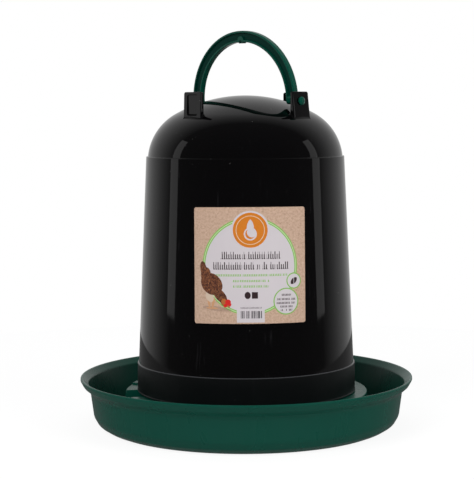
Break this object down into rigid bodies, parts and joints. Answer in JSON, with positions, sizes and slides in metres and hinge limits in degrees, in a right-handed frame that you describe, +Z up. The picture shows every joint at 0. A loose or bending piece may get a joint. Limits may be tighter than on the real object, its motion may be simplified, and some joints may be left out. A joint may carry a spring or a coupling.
{
  "type": "poultry waterer",
  "caption": "Siphon poultry drinker: a domed black fount locked onto a round green tray with a flared lip, with a hinged green carrying handle and a square paper label.",
  "frame": {"origin": "on the floor under the middle of the tray", "axes": "+Z up along the fount's axis, -Y towards the label side, +X to the right seen from the label side"},
  "size_m": [0.282, 0.282, 0.3345],
  "materials": {
    "tray_green": "satin moulded",
    "fount_black": "glossy moulded",
    "handle_green": "glossy moulded",
    "label_paper": "matt printed"
  },
  "bodies": {
    "tray": {"tray_dish": "tray_green", "tray_seat": "tray_green", "seat_stop": "tray_green", "lock_hook_1": "tray_green", "lock_hook_2": "tray_green", "lock_hook_3": "tray_green", "lock_hook_4": "tray_green"},
    "fount": {"fount_collar": "fount_black", "fount_wall": "fount_black", "fount_dome": "fount_black", "post_front_right": "fount_black", "post_back_left": "fount_black", "post_front_left": "fount_black", "post_back_right": "fount_black", "label": "label_paper", "lock_lug_1": "fount_black", "lock_lug_2": "fount_black", "lock_lug_3": "fount_black", "lock_lug_4": "fount_black"},
    "handle": {"handle_arch": "handle_green", "handle_pin_front": "handle_green", "handle_pin_back": "handle_green"}
  },
  "joints": [
    {"name": "fount_lock", "type": "hinge", "parent": "tray", "child": "fount", "pos_m": [0, 0, 0.0304], "axis": [0, 0, 1], "range_deg": [0, 24]},
    {"name": "handle_swing", "type": "hinge", "parent": "fount", "child": "handle", "pos_m": [0, 0, 0.2753], "axis": [0.7314, -0.682, 0], "range_deg": [-92, 87]}
  ]
}
